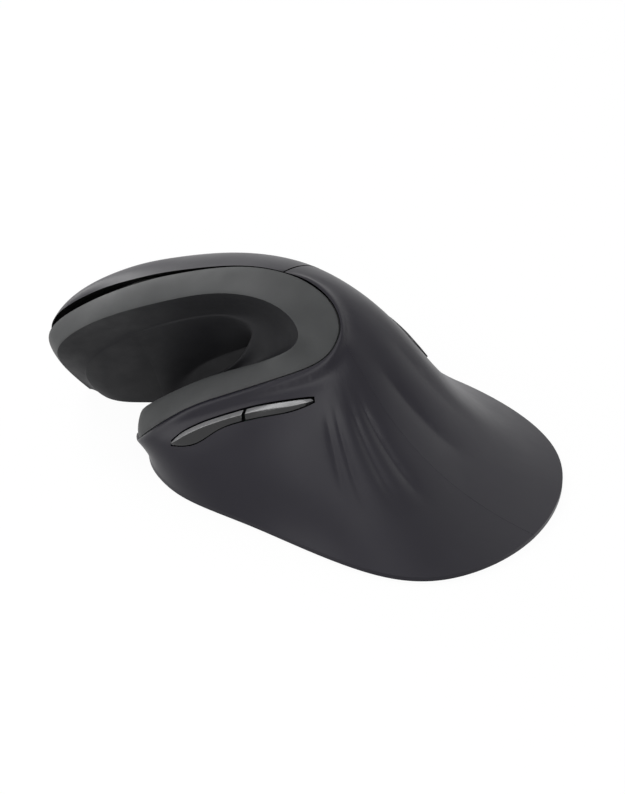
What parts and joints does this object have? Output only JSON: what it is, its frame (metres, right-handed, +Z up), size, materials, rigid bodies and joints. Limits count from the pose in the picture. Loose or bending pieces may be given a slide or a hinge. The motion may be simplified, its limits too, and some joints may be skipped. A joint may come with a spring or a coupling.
{
  "type": "computer mouse",
  "caption": "Upright right-handed ergonomic mouse with a thumb groove, flared skirt, click panels, scroll wheel and thumb buttons.",
  "frame": {"origin": "middle of the footprint's box on the desk", "axes": "+Y to the front of the mouse, +X to its right, +Z up"},
  "size_m": [0.0902, 0.1474, 0.0591],
  "materials": {
    "soft_black": "matte",
    "strip_rubber": "matte",
    "cradle_rubber": "matte",
    "gloss_black": "semi-gloss",
    "badge_metal": "satin",
    "base_plastic": "matte",
    "circuit_board": "satin",
    "wheel_plastic": "satin",
    "tyre_rubber": "matte",
    "inner_plastic": "matte",
    "switch_plastic": "satin",
    "cell_sleeve": "satin",
    "contact_steel": "brushed",
    "receiver_metal": "brushed",
    "screw_steel": "brushed",
    "clear_lens": "clear",
    "glide_plastic": "matte"
  },
  "bodies": {
    "case": {"left_shell": "soft_black", "right_shell": "soft_black", "grip_strip": "strip_rubber", "thumb_cradle": "cradle_rubber", "palm_badge": "badge_metal", "base_plate": "base_plastic", "finger_board": "circuit_board", "index_switch": "switch_plastic", "middle_switch": "switch_plastic", "wheel_switch": "switch_plastic", "dpi_switch": "switch_plastic", "thumb_board": "circuit_board", "thumb_switches": "switch_plastic", "battery_tray": "inner_plastic", "battery_cells": "cell_sleeve", "battery_contacts": "contact_steel", "receiver_dock": "inner_plastic", "power_switch": "switch_plastic", "main_board": "circuit_board", "board_screws": "screw_steel", "optical_sensor": "switch_plastic", "sensor_lens": "clear_lens", "board_chips": "switch_plastic", "case_screws": "screw_steel", "finger_board_screws": "screw_steel", "glide_feet": "glide_plastic"},
    "index_panel": {"index_button": "soft_black"},
    "middle_panel": {"middle_button": "soft_black"},
    "wheel_fork": {"wheel_carrier": "inner_plastic", "wheel_encoder": "switch_plastic"},
    "wheel": {"scroll_wheel": "wheel_plastic", "wheel_tyre": "tyre_rubber"},
    "speed_key": {"dpi_button": "gloss_black"},
    "forward_key": {"forward_button": "gloss_black"},
    "back_key": {"back_button": "gloss_black"},
    "door": {"battery_door": "base_plastic"},
    "receiver": {"usb_receiver": "receiver_metal"},
    "power_slider": {"power_knob": "base_plastic"}
  },
  "joints": [
    {"name": "index_click", "type": "hinge", "parent": "case", "child": "index_panel", "pos_m": [0.0053, 0.00544, 0.0499], "axis": [-0.8244, 0, 0.5659], "range_deg": [0, 0.7], "stiffness_Nm_per_rad": 8},
    {"name": "middle_click", "type": "hinge", "parent": "case", "child": "middle_panel", "pos_m": [0.02378, 0.00548, 0.02889], "axis": [-0.5522, 0, 0.8337], "range_deg": [0, 0.7], "stiffness_Nm_per_rad": 8},
    {"name": "wheel_press", "type": "slide", "parent": "case", "child": "wheel_fork", "axis": [-0.7079, -0.3818, -0.5943], "range_m": [0, 0.0004], "stiffness_N_per_m": 1500},
    {"name": "wheel_spin", "type": "hinge", "parent": "wheel_fork", "child": "wheel", "pos_m": [0.00744, 0.03209, 0.03653], "axis": [0.643, 0, -0.7659], "continuous": true},
    {"name": "speed_press", "type": "slide", "parent": "case", "child": "speed_key", "axis": [-0.7561, -0.1948, -0.6248], "range_m": [0, 0.0004], "stiffness_N_per_m": 1500},
    {"name": "forward_press", "type": "slide", "parent": "case", "child": "forward_key", "axis": [0.7905, 0.0712, -0.6083], "range_m": [0, 0.0005], "stiffness_N_per_m": 1500},
    {"name": "back_press", "type": "slide", "parent": "case", "child": "back_key", "axis": [0.7905, 0.0712, -0.6083], "range_m": [0, 0.0005], "stiffness_N_per_m": 1500},
    {"name": "door_swing", "type": "hinge", "parent": "case", "child": "door", "pos_m": [0.005, -0.0304, 0.00155], "axis": [-1, 0, 0], "range_deg": [0, 85]},
    {"name": "receiver_slide", "type": "slide", "parent": "case", "child": "receiver", "axis": [0, 0, -1], "range_m": [0, 0.019]},
    {"name": "power_slide", "type": "slide", "parent": "case", "child": "power_slider", "axis": [0, 1, 0], "range_m": [0, 0.002]}
  ]
}
